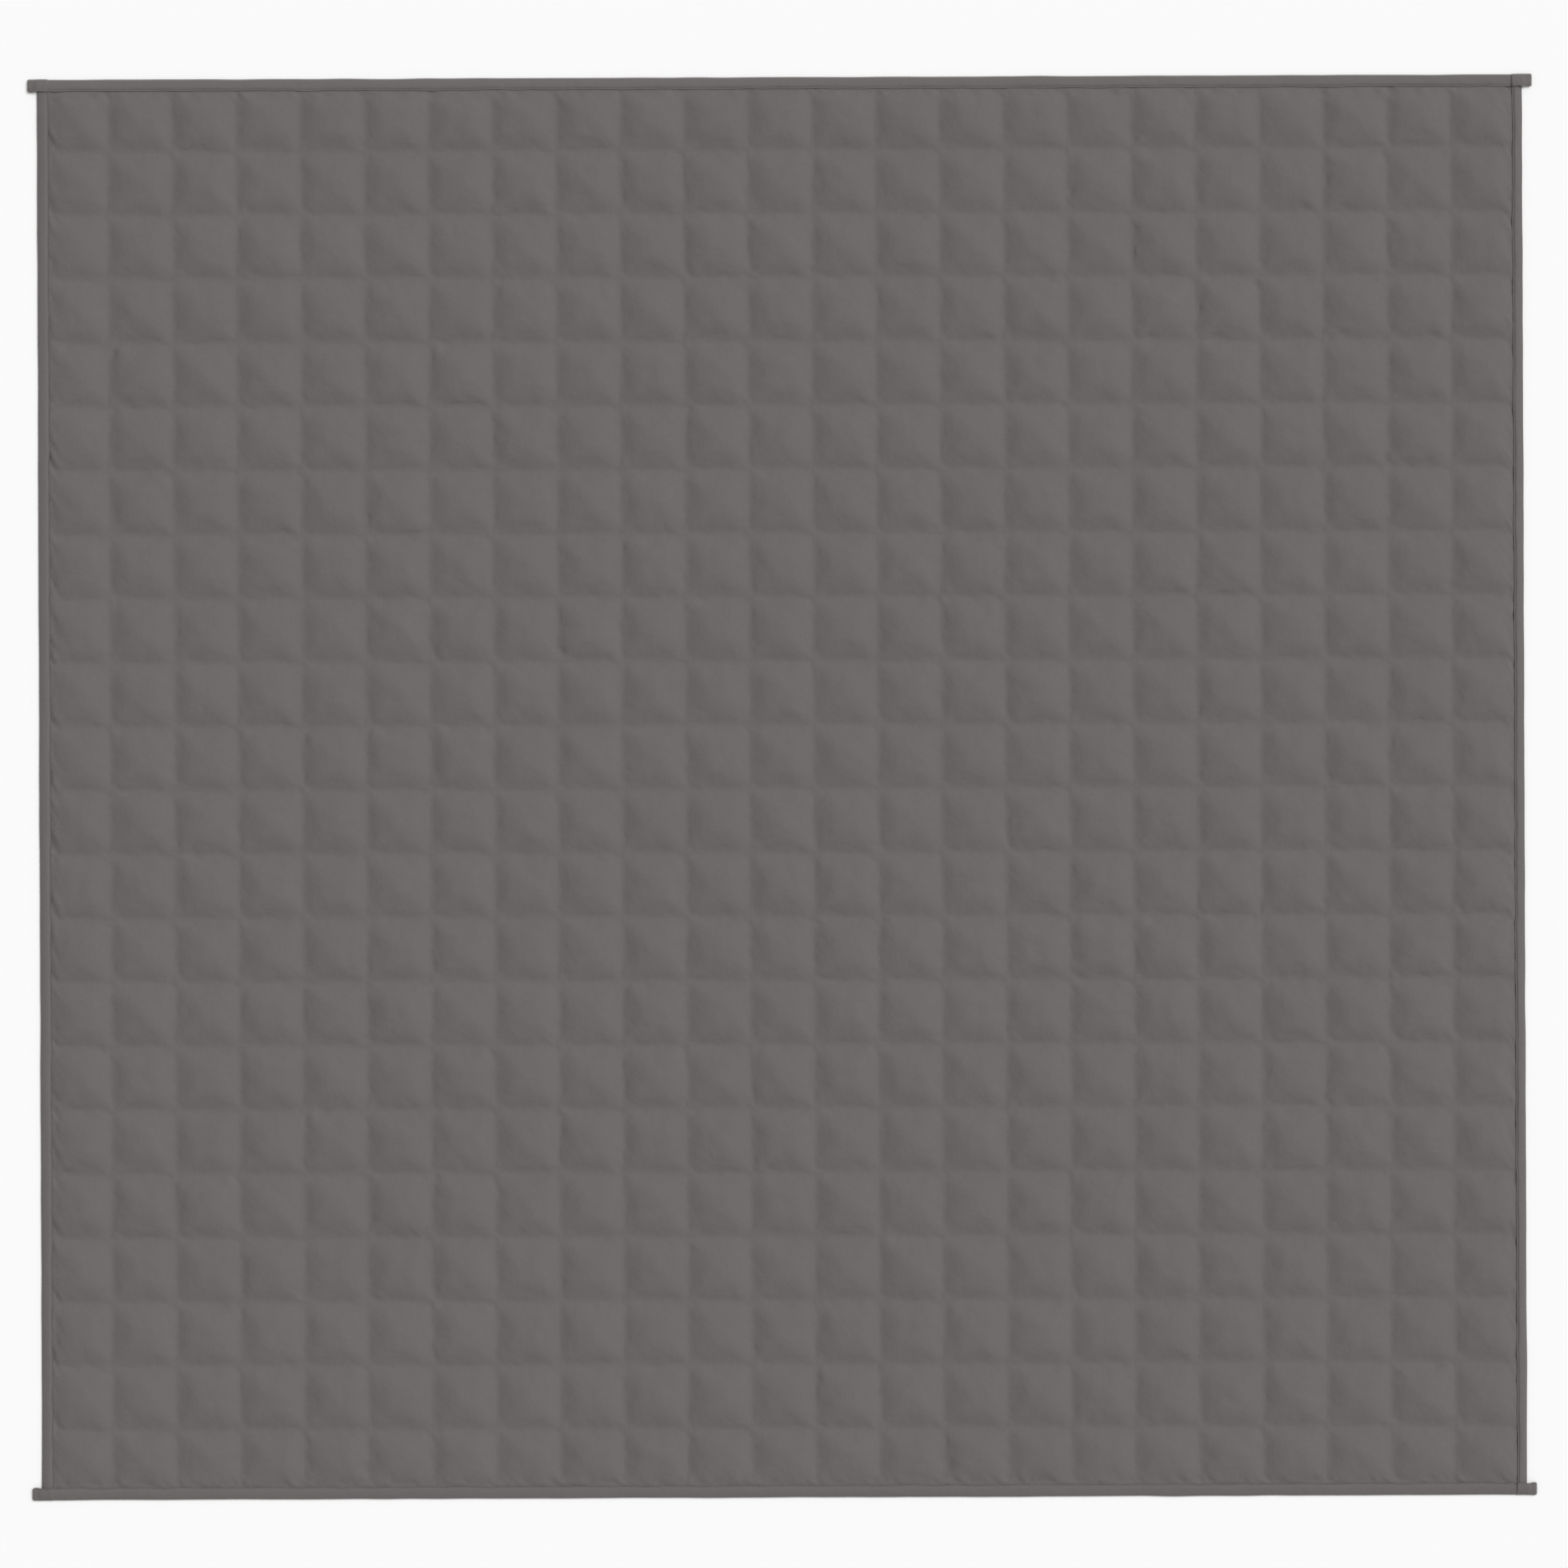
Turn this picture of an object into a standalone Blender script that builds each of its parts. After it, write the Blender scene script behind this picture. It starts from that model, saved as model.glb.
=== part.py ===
"""A weighted blanket, lying flat with its front up: a filled panel, quilted into squares and bound with tape.

Metres, +Z up. The origin is on the surface that it lies on, under the middle of the blanket.
+X runs along the rows of squares to the right and +Y up the columns, as seen from above.
"""

import math
import random

import bmesh
import bpy

# The blanket over its bindings, without the tabs at its corners.
WIDTH = 2.300
LENGTH = 2.200

# The quilting: seams one pitch apart, with the squares at the edges running in under the tape.
COLUMNS = 23
ROWS = 22
PITCH = 0.099
ROW_SHIFT = -0.0025  # the rows lie this far off the middle, towards the bottom edge

# Heights above the surface.
SEAM_BOTTOM = 0.0013
SEAM_TOP = 0.0037
CROWN_TOP = 0.0130
CROWN_SPREAD = 0.0006  # how much one square's crown may differ from the next

# How far in from its seams each square turns over, and how much of the crown it has by then.
SHOULDER = 0.018
SHOULDER_SHARE = 0.6
PAD_INSET = 0.008  # underneath, where the square leaves the surface

# The folded tape: TAPE_SIDE and TAPE_END are what shows of it on the sides and on the ends.
TAPE_SIDE = 0.015
TAPE_END = 0.0175
TAPE_HEIGHT = 0.0060
FOLD = 0.0030  # between the fold and the cut edge of the panel inside it
CLEARANCE = 0.0003  # between the panel and the tape that holds its edge

# The ends of the top and bottom tapes, which are turned back and stand past the sides.
TAB = 0.015
TURNED_BACK = 0.031
TURN_OUT = 0.0008  # the doubled end is this much wider
TURN_UP = 0.0018  # and this much thicker
TURN_STEP = 0.0006  # the length over which it steps down to the single tape
END_ROUND = 0.0010

# Outline of the folded tape: (inward from the fold, in tape widths; height, in tape heights).
# It lies flat below, rolls over at the fold, is crowned and dips where it is sewn down.
TAPE_OUTLINE = (
    (1.00, 0.00),
    (0.14, 0.00),
    (0.04, 0.12),
    (0.00, 0.36),
    (0.04, 0.57),
    (0.14, 0.72),
    (0.28, 0.88),
    (0.46, 0.98),
    (0.60, 1.00),
    (0.74, 0.93),
    (0.86, 0.82),
    (0.94, 0.87),
    (1.00, 0.82),
)

SHARP_TURN = math.radians(50)  # an edge that turns more than this is shaded sharp
CLOTH_COLOUR = (0.150, 0.138, 0.135, 1.0)
TAPE_COLOUR = (0.158, 0.145, 0.142, 1.0)
CLOTH_ROUGHNESS = 0.9


def cloth(name, colour):
    """A matt woven cloth."""
    material = bpy.data.materials.new(name)
    material.use_nodes = True
    shader = material.node_tree.nodes["Principled BSDF"]
    shader.inputs["Base Color"].default_value = colour
    shader.inputs["Roughness"].default_value = CLOTH_ROUGHNESS
    shader.inputs["Metallic"].default_value = 0.0
    return material


def node(name, bm, material=None):
    """A named object from a bmesh, shaded smooth but for its sharp turns."""
    mesh = bpy.data.meshes.new(name)
    bm.to_mesh(mesh)
    bm.free()
    mesh.shade_smooth()
    mesh.set_sharp_from_angle(angle=SHARP_TURN)
    if material:
        mesh.materials.append(material)
    made = bpy.data.objects.new(name, mesh)
    bpy.context.scene.collection.objects.link(made)
    return made


def grid_lines(squares, half, tape, shift):
    """Where the panel is divided: its cut edge, the inner edge of the tape, each seam, and the same again."""
    sewn = half - tape - CLEARANCE
    cut = half - FOLD - CLEARANCE
    seams = [shift + PITCH * (k - (squares - 2) / 2) for k in range(squares - 1)]
    return [-cut, -sewn, *seams, sewn, cut]


def flat_grid(bm, xs, ys, height, facing_up):
    """One face of the panel as a flat grid. Returns the faces of its squares, without those of its flat rim."""
    corners = [[bm.verts.new((x, y, height)) for x in xs] for y in ys]
    squares = []
    for j in range(len(ys) - 1):
        for i in range(len(xs) - 1):
            ring = [corners[j][i], corners[j][i + 1], corners[j + 1][i + 1], corners[j + 1][i]]
            face = bm.faces.new(ring if facing_up else ring[::-1])
            if 0 < i < len(xs) - 2 and 0 < j < len(ys) - 2:
                squares.append(face)
    return squares


def raise_crowns(bm, squares):
    """Gives each square of the front its shoulder and its crown."""
    bmesh.ops.inset_individual(bm, faces=squares, thickness=SHOULDER, use_even_offset=True)
    uneven = random.Random(3)
    for square in squares:
        crown = CROWN_TOP - SEAM_TOP + uneven.uniform(-CROWN_SPREAD, CROWN_SPREAD)
        for corner in square.verts:
            corner.co.z = SEAM_TOP + SHOULDER_SHARE * crown
        poked = bmesh.ops.poke(bm, faces=[square], offset=0, center_mode="MEAN")
        poked["verts"][0].co.z = SEAM_TOP + crown


def press_pads(bm, squares):
    """Presses each square of the back flat where it lies on the surface."""
    bmesh.ops.inset_individual(bm, faces=squares, thickness=PAD_INSET, use_even_offset=True)
    for square in squares:
        for corner in square.verts:
            corner.co.z = 0


def quilted_panel(material):
    """The filled panel: crowned squares above, flat pads below, sewn channels between them and a thin flat rim."""
    xs = grid_lines(COLUMNS, WIDTH / 2, TAPE_SIDE, 0)
    ys = grid_lines(ROWS, LENGTH / 2, TAPE_END, ROW_SHIFT)
    bm = bmesh.new()
    front = flat_grid(bm, xs, ys, SEAM_TOP, facing_up=True)
    back = flat_grid(bm, xs, ys, SEAM_BOTTOM, facing_up=False)
    rim = [edge for edge in bm.edges if edge.is_boundary]
    bmesh.ops.bridge_loops(bm, edges=rim)
    raise_crowns(bm, front)
    press_pads(bm, back)
    bmesh.ops.recalc_face_normals(bm, faces=bm.faces)
    return node("quilted_panel", bm, material)


def tape_section(bm, along, width, out, up):
    """One cross-section of a tape that runs along X with its fold at -Y, this much wider and thicker than the tape."""
    return [
        bm.verts.new((along, inward * (width + out) - out, height * (TAPE_HEIGHT + up)))
        for inward, height in TAPE_OUTLINE
    ]


def tape_body(bm, width, sections):
    """A solid strip through the sections (along, out, up)."""
    rings = [tape_section(bm, along, width, out, up) for along, out, up in sections]
    for near, far in zip(rings, rings[1:]):
        for k, corner in enumerate(near):
            bm.faces.new((corner, near[k - 1], far[k - 1], far[k]))
    bm.faces.new(rings[0])
    bm.faces.new(rings[-1])
    bmesh.ops.recalc_face_normals(bm, faces=bm.faces)


def groove(name, half_length, width):
    """The cutter for the slot between the tape's two faces, where the panel's edge lies."""
    bm = bmesh.new()
    bmesh.ops.create_cube(bm, size=1)
    deep, low, high = FOLD, SEAM_BOTTOM - CLEARANCE, SEAM_TOP + CLEARANCE
    past = width + FOLD
    for corner in bm.verts:
        corner.co.x = math.copysign(half_length, corner.co.x)
        corner.co.y = past if corner.co.y > 0 else deep
        corner.co.z = high if corner.co.z > 0 else low
    cutter = node(name, bm)
    cutter.hide_render = True
    cutter.display_type = "WIRE"
    return cutter


def binding(name, half_length, width, sections, groove_half, turn, edge, material):
    """A folded tape with its groove, turned about Z and moved out to its edge of the blanket."""
    bm = bmesh.new()
    tape_body(bm, width, sections)
    tape = node(name, bm, material)
    cutter = groove(name + "_groove", groove_half, width)
    cut = tape.modifiers.new("groove", "BOOLEAN")
    cut.operation = "DIFFERENCE"
    cut.object = cutter
    for placed in (tape, cutter):
        placed.rotation_euler.z = turn
        placed.location = (edge * math.sin(turn), -edge * math.cos(turn), 0)
    return tape


def end_tapes(material):
    """The top and bottom tapes, with their turned-back ends."""
    tip = WIDTH / 2 + TAB
    step = tip - TURNED_BACK
    half = (
        (tip, -END_ROUND, TURN_UP - END_ROUND),
        (tip - END_ROUND, TURN_OUT, TURN_UP),
        (step, TURN_OUT, TURN_UP),
        (step - TURN_STEP, 0, 0),
    )
    sections = [(-along, out, up) for along, out, up in half] + list(half[::-1])
    for name, turn in (("binding_bottom", 0), ("binding_top", math.pi)):
        binding(name, tip, TAPE_END, sections, WIDTH / 2 - FOLD, turn, LENGTH / 2, material)


def side_tapes(material):
    """The side tapes, which run between the top and bottom ones."""
    half_length = LENGTH / 2 - TAPE_END - CLEARANCE
    sections = [(-half_length, 0, 0), (half_length, 0, 0)]
    for name, turn in (("binding_right", math.pi / 2), ("binding_left", -math.pi / 2)):
        binding(name, half_length, TAPE_SIDE, sections, LENGTH / 2, turn, WIDTH / 2, material)


def main():
    for old in list(bpy.data.objects):
        bpy.data.objects.remove(old)
    panel_cloth = cloth("panel_cloth", CLOTH_COLOUR)
    tape_cloth = cloth("tape_cloth", TAPE_COLOUR)
    quilted_panel(panel_cloth)
    end_tapes(tape_cloth)
    side_tapes(tape_cloth)


main()
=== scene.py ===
"""The looks of a weighted blanket that lies flat, front up: cloth squares that swell between their seams,
with puckers along the stitching, bound with folded tape.

Metres, +Z up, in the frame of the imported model. The puckers are simulated on a small patch of cloth. Each
square of the blanket takes those of one of its squares, mirrored or not, and more or less strong.
"""

import math

import bpy
import numpy as np
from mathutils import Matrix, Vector


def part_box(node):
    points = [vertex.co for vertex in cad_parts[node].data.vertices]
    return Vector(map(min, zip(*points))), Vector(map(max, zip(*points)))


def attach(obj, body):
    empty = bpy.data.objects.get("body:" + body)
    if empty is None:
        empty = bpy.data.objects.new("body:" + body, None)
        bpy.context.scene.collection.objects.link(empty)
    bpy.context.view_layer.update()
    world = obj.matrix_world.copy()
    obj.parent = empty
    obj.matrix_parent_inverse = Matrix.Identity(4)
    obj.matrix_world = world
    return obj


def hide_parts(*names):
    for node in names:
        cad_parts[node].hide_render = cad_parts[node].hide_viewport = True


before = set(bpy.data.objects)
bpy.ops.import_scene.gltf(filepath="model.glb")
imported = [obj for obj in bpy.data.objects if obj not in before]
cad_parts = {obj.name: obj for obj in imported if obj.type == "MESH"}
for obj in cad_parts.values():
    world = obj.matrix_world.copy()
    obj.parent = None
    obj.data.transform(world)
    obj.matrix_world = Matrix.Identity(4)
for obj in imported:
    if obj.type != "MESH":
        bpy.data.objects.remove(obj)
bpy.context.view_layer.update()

# The quilting, as in the solids.
COLUMNS = 23
ROWS = 22
PITCH = 0.099
ROW_SHIFT = -0.0025
SEAM_TOP = 0.0037
SEAM_BOTTOM = 0.0013
STITCH_IN = 0.0013  # how far in from its own inner edge a tape is sewn to the panel

# The turned-back ends of the top and bottom tapes, as in the solids.
TURNED_BACK = 0.031
TURN_OUT = 0.0008

# The photograph in its own pixels: its width, and the blanket's corners inside the tabs. These were
# measured, then moved by less than half a pixel, so that the render's edges fall on the photograph's.
PHOTO_SIDE = 1601
PHOTO_CORNERS = ((38.6, 81.3), (1553.96, 75.4), (42.36, 1532.2), (1559.46, 1526.5))


def left_right(node):
    """The lowest and the highest x of a CAD node."""
    low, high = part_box(node)
    return low.x, high.x


def down_up(node):
    """The lowest and the highest y of a CAD node."""
    low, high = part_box(node)
    return low.y, high.y


PANEL_X = left_right("quilted_panel")
PANEL_Y = down_up("quilted_panel")
LEFT_TAPE = left_right("binding_left")
RIGHT_TAPE = left_right("binding_right")
BOTTOM_TAPE = (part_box("binding_bottom")[0].y + TURN_OUT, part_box("binding_bottom")[1].y)
TOP_TAPE = (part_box("binding_top")[0].y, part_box("binding_top")[1].y - TURN_OUT)
TAB_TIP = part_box("binding_top")[1].x

# Three of the tapes show a little more of their width than in the solids.
END_TAPES_WIDER = 0.0010
LEFT_TAPE_WIDER = 0.0020
TOP_LIP = TOP_TAPE[0] - END_TAPES_WIDER
BOTTOM_LIP = BOTTOM_TAPE[1] + END_TAPES_WIDER
LEFT_LIP = LEFT_TAPE[1] + LEFT_TAPE_WIDER


# ---- The panel's lines ----

FRONT_STEPS = 20  # faces along a side of each square of the front
BACK_STEPS = 10
CROWDING = 0.4  # how much closer the lines lie near the seams, where the puckers are


def square_edges(count, first, last, shift):
    """Where the squares meet, from the inner edge of one tape to the inner edge of the other."""
    seams = [shift + PITCH * (k - (count - 2) / 2) for k in range(count - 1)]
    return np.array([first, *seams, last])


def divided(edges, steps):
    """Each stretch between two edges, divided into this many steps, which are shorter near its ends."""
    share = np.arange(steps) / steps
    share = share - CROWDING * np.sin(2 * np.pi * share) / (2 * np.pi)
    inner = (edges[:-1, None] + share * np.diff(edges)[:, None]).ravel()
    return np.append(inner, edges[-1])


EDGES_X = square_edges(COLUMNS, LEFT_LIP - STITCH_IN, RIGHT_TAPE[0] + STITCH_IN, 0)
EDGES_Y = square_edges(ROWS, BOTTOM_LIP - STITCH_IN, TOP_LIP + STITCH_IN, ROW_SHIFT)


def smooth_noise(shape, reach, rng):
    """Noise of unit spread whose bumps are about this many lines wide, in each direction."""
    spectrum = np.fft.fftn(rng.standard_normal(shape))
    for axis, (count, wide) in enumerate(zip(shape, reach)):
        turns = np.fft.fftfreq(count) * wide
        fade = np.exp(-2 * turns**2)
        spectrum = spectrum * fade.reshape([-1 if k == axis else 1 for k in range(len(shape))])
    noise = np.fft.ifftn(spectrum).real
    return noise / noise.std()


def within(lines, edges):
    """Where each line lies in its own square, from 0 at one seam to 1 at the next."""
    index = np.clip(np.searchsorted(edges, lines, side="right") - 1, 0, len(edges) - 2)
    low, high = edges[index], edges[index + 1]
    return np.clip((lines - low) / (high - low), 0, 1)


def to_nearest(lines, edges):
    """How far each line lies from the nearest edge, as a share of half its own square."""
    share = within(lines, edges)
    return np.minimum(share, 1 - share) * 2


# ---- The front, simulated on a patch ----

PATCH_SQUARES = 8  # the first and last are edge squares, and the rest come from the middle of the blanket
CLOTH_SCALE = 10  # the solver works best on a cloth of metres
CLOTH_FRAMES = 12
CLOTH_SETTINGS = {
    "quality": 5,
    "mass": 0.02,
    "tension_stiffness": 15,
    "compression_stiffness": 15,
    "bending_stiffness": 0.05,
    "use_pressure": True,
    "uniform_pressure_force": 3,
}
EXCESS_X = 1.025  # how much more cloth there is than the seams are long
EXCESS_Y = 1.04
SWELL_START = 0.006  # what the patch starts from
PUCKER_START = 0.0018
PUCKER_REACH = 0.022  # how far the puckers run in from the seams
ON_SEAM = 1e-6
SMALL_BUMPS = (3, 3)  # in grid lines


def patch_edges(edges):
    """The patch's own edges: one square from each side of the blanket, with whole squares between them."""
    first, last = np.diff(edges)[[0, -1]]
    widths = [first] + [PITCH] * (PATCH_SQUARES - 2) + [last]
    return np.concatenate([[0], np.cumsum(widths)])


def grid_faces(rows, columns):
    """The faces of a grid, as four corners each."""
    corner = np.arange(rows * columns).reshape(rows, columns)
    around = (corner[:-1, :-1], corner[:-1, 1:], corner[1:, 1:], corner[1:, :-1])
    return np.stack(around, axis=-1).reshape(-1, 4)


def mesh_of(name, points, *faces):
    """A smooth mesh from an array of points and arrays of faces, each with its own number of corners."""
    mesh = bpy.data.meshes.new(name)
    mesh.vertices.add(len(points))
    mesh.vertices.foreach_set("co", np.ascontiguousarray(points, np.float32).ravel())
    corners = np.concatenate([some.ravel() for some in faces]).astype(np.int32)
    sizes = np.concatenate([np.full(len(some), some.shape[1]) for some in faces])
    starts = np.concatenate([[0], np.cumsum(sizes)[:-1]]).astype(np.int32)
    mesh.loops.add(len(corners))
    mesh.loops.foreach_set("vertex_index", corners)
    mesh.polygons.add(len(starts))
    mesh.polygons.foreach_set("loop_start", starts)
    mesh.update(calc_edges=True)
    mesh.validate()
    mesh.shade_smooth()
    return mesh


def lay_map(mesh, places):
    """Gives the mesh a map, from a place for each corner of each face, in the order of its faces."""
    layer = mesh.uv_layers.new(name="OFBake")
    layer.uv.foreach_set("vector", np.ascontiguousarray(places, np.float32).ravel())


def linked(name, content):
    """An object with this mesh, camera or lamp, in the scene."""
    made = bpy.data.objects.new(name, content)
    bpy.context.scene.collection.objects.link(made)
    return made


def starting_patch(xs, ys, edges_x, edges_y):
    """The patch before it swells, and which of its points are sewn down."""
    in_x, in_y = to_nearest(xs, edges_x), to_nearest(ys, edges_y)
    across, up = np.meshgrid(in_x, in_y)
    near = np.minimum(across, up)
    height = SWELL_START * (1 - (1 - near) ** 2)
    rng = np.random.default_rng(5)
    puckers = smooth_noise(near.shape, SMALL_BUMPS, rng) * PUCKER_START
    height += puckers * np.exp(-near * (PITCH / 2) / PUCKER_REACH)
    sewn = near < ON_SEAM
    height[sewn] = 0
    grid_x, grid_y = np.meshgrid(xs, ys)
    return np.stack([grid_x, grid_y, height], axis=-1), sewn


def simulated(points, sewn):
    """Blender's cloth, blown up gently between seams that hold still, with cloth to spare between them."""
    flat = points.reshape(-1, 3) * CLOTH_SCALE
    patch = linked("patch", mesh_of("patch", flat, grid_faces(*sewn.shape)))
    held = patch.vertex_groups.new(name="sewn")
    held.add(np.nonzero(sewn.ravel())[0].tolist(), 1.0, "REPLACE")
    patch.shape_key_add(name="Basis")
    relaxed = patch.shape_key_add(name="relaxed")
    loose = flat * (EXCESS_X, EXCESS_Y, 0)
    relaxed.data.foreach_set("co", loose.astype(np.float32).ravel())
    relaxed.value = 0
    cloth = patch.modifiers.new("cloth", "CLOTH")
    cloth.collision_settings.use_collision = False
    cloth.point_cache.frame_end = CLOTH_FRAMES
    for name, value in CLOTH_SETTINGS.items():
        setattr(cloth.settings, name, value)
    cloth.settings.vertex_group_mass = held.name
    cloth.settings.rest_shape_key = relaxed
    cloth.settings.effector_weights.gravity = 0
    for step in range(1, CLOTH_FRAMES + 1):
        bpy.context.scene.frame_set(step)
    evaluated = patch.evaluated_get(bpy.context.evaluated_depsgraph_get())
    settled = np.empty(flat.size, np.float32)
    evaluated.data.vertices.foreach_get("co", settled)
    bpy.data.objects.remove(patch)
    bpy.context.scene.frame_set(1)
    return settled.reshape(points.shape) / CLOTH_SCALE


def patch_offsets():
    """How far each point of the patch moves from the flat cloth between the seams."""
    edges_x, edges_y = patch_edges(EDGES_X), patch_edges(EDGES_Y)
    xs, ys = divided(edges_x, FRONT_STEPS), divided(edges_y, FRONT_STEPS)
    points, sewn = starting_patch(xs, ys, edges_x, edges_y)
    settled = simulated(points, sewn)
    return settled - points * (1, 1, 0)


def patch_index(square, count, rng):
    """The patch's square for this one of the blanket's, and whether it may be mirrored."""
    if square == 0:
        return 0, False
    if square == count - 1:
        return PATCH_SQUARES - 1, False
    return int(rng.integers(1, PATCH_SQUARES - 1)), bool(rng.integers(2))


FLANK_SLOPE = 0.325  # where it is steepest
FLANK = 0.041  # how far in from a seam a square becomes level
RIDGE_WIDTH = 0.016  # over which one flank turns into the next at a corner
FURROW_RADIUS = 0.005
UNEVEN = 0.00065
UNEVEN_REACH = 4  # in grid lines
EASED = 0.82  # how much more gently it rises from the left and bottom tapes than from its seams
EDGE_SINK = 0.0004  # how far the right and top tapes press the cloth down beside them
EDGE_SINK_REACH = 0.004


def smooth_minimum(one, other, width):
    """The lower of two values, rounded off by a quarter of this width where they are alike."""
    alike = np.clip(1 - np.abs(one - other) / width, 0, 1)
    return np.minimum(one, other) - width / 4 * alike**2


def filled_form(xs, ys):
    """The form that the filling gives each square: flanks that level off, and ridges in its corners."""
    near_x = np.minimum(to_nearest(xs, EDGES_X) * PITCH / 2, (xs - xs[0]) * EASED)
    near_y = np.minimum(to_nearest(ys, EDGES_Y) * PITCH / 2, (ys - ys[0]) * EASED)
    inward = np.maximum(smooth_minimum(near_x[None, :], near_y[:, None], RIDGE_WIDTH), 0)
    inward = np.sqrt(inward**2 + FURROW_RADIUS**2) - FURROW_RADIUS
    share = np.minimum(inward / FLANK, 1)
    height = FLANK_SLOPE * FLANK * 2 / np.pi * np.sin(np.pi / 2 * share)
    uneven = smooth_noise(height.shape, (UNEVEN_REACH, UNEVEN_REACH), np.random.default_rng(47))
    sunk = EDGE_SINK * np.exp(-np.minimum.outer(ys[-1] - ys, xs[-1] - xs) / EDGE_SINK_REACH)
    return height + UNEVEN * uneven * share - sunk


PUCKER_LIMIT = 0.0018  # their height levels off towards it
SWELL_SHARE = 0.25  # how much of the simulated swell the form takes on, besides all its puckers


def square_at(row, column):
    """Where the points of one square of the front lie in the grid."""
    return tuple(slice(k * FRONT_STEPS, (k + 1) * FRONT_STEPS + 1) for k in (row, column))


def puckers_and_swell(patch):
    """The patch with the even swell of its squares turned down and their puckers kept."""
    inner = range(1, PATCH_SQUARES - 1)
    even = np.mean([patch[square_at(row, column)] for row in inner for column in inner], axis=0)
    even = (even + even[:, ::-1] * (-1, 1, 1)) / 2
    even = (even + even[::-1] * (1, -1, 1)) / 2
    changed = patch.copy()
    for row in range(PATCH_SQUARES):
        for column in range(PATCH_SQUARES):
            here = square_at(row, column)
            changed[here] = patch[here] - (1 - SWELL_SHARE) * even
    changed[..., 2] = PUCKER_LIMIT * np.tanh(changed[..., 2] / PUCKER_LIMIT)
    return changed


def softened(height):
    """The heights with their sharp turns at the seams rounded off."""
    for axis in (0, 1):
        padded = np.pad(height, [(1, 1) if k == axis else (0, 0) for k in (0, 1)], mode="edge")
        before, after = np.delete(padded, [-1, -2], axis), np.delete(padded, [0, 1], axis)
        height = (before + 2 * height + after) / 4
    return height


PUCKERS_LEAST = 0.5  # most squares are only slightly puckered, and a few are strongly
PUCKERS_MORE = 0.73


def front_offsets(patch):
    """The patch's squares laid out over the whole blanket."""
    rng = np.random.default_rng(11)
    offsets = np.zeros((ROWS * FRONT_STEPS + 1, COLUMNS * FRONT_STEPS + 1, 3))
    for row in range(ROWS):
        for column in range(COLUMNS):
            from_row, flip_y = patch_index(row, ROWS, rng)
            from_column, flip_x = patch_index(column, COLUMNS, rng)
            tile = patch[square_at(from_row, from_column)]
            if flip_x:
                tile = tile[:, ::-1] * (-1, 1, 1)
            if flip_y:
                tile = tile[::-1] * (1, -1, 1)
            strength = PUCKERS_LEAST + PUCKERS_MORE * rng.random() ** 3
            offsets[square_at(row, column)] = tile * strength
    return offsets


SEAM_WANDER = 0.00015  # how far the stitching strays from a straight line
SEAM_WANDER_REACH = 0.07
WANDER_GRID = 0.01
STRAIGHT_EDGE = 0.02  # there is none this near the panel's edge, and all of it at twice that


def wander(xs, ys):
    """A slight drift of the stitching in x and y, the same for all that lies there."""
    rng = np.random.default_rng(23)
    count_x = int((PANEL_X[1] - PANEL_X[0]) / WANDER_GRID) + 2
    count_y = int((PANEL_Y[1] - PANEL_Y[0]) / WANDER_GRID) + 2
    at_x, at_y = (xs - PANEL_X[0]) / WANDER_GRID, (ys - PANEL_Y[0]) / WANDER_GRID
    drift = []
    for _ in range(2):
        noise = smooth_noise((count_y, count_x), [SEAM_WANDER_REACH / WANDER_GRID] * 2, rng)
        rows = np.array([np.interp(at_x, np.arange(count_x), row) for row in noise])
        drift.append(np.array([np.interp(at_y, np.arange(count_y), line) for line in rows.T]).T)
    from_ends = [np.minimum(at - ends[0], ends[1] - at) for at, ends in ((ys, PANEL_Y), (xs, PANEL_X))]
    fade = np.clip(np.minimum.outer(*from_ends) / STRAIGHT_EDGE - 1, 0, 1)
    return np.stack(drift, axis=-1) * SEAM_WANDER * fade[..., None]


TUCK_DEPTHS = (0.00039, 0.00156)  # of the slightest and the strongest
TUCK_HALF = 0.0028  # half its width
TUCK_REACH = 0.013  # how far it runs in from the tape
TUCK_SLANT = 1.8  # how much further it runs along the tape than in from it
TUCK_STARTS = (0.032, 0.017)  # how far from its seam each starts at the tape
TUCK_STRAYS = (0.8, 1.2)  # and by what factor that differs


def tucks(xs, ys):
    """Slanting tucks in from the side tapes: above each seam on the left, below it on the right."""
    rng = np.random.default_rng(61)
    grid_x, grid_y = np.meshgrid(xs, ys)
    height = np.zeros_like(grid_x)
    for seam in EDGES_Y[1:-1]:
        for inward, from_seam in ((grid_x - xs[0], grid_y - seam), (xs[-1] - grid_x, seam - grid_y)):
            for start in TUCK_STARTS:
                at = start * rng.uniform(*TUCK_STRAYS) - TUCK_SLANT * inward
                aside = (from_seam - at) / math.hypot(1, TUCK_SLANT)
                fade = np.exp(-((inward / TUCK_REACH) ** 2)) * np.clip(from_seam / TUCK_HALF, 0, 1)
                depth = rng.uniform(*TUCK_DEPTHS)
                height -= depth * fade * np.exp(-((aside / TUCK_HALF) ** 2))
    return height


GATHER = 0.0009
GATHER_REACH = 0.004  # how far in from where they start they are highest
GATHER_SLANT = 0.6
GATHER_GRID = 0.002
GATHER_PITCH = 0.011
LIP_STRAYS = 0.0014  # how far in the cloth leaves room for a tape's wavering edge


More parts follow.
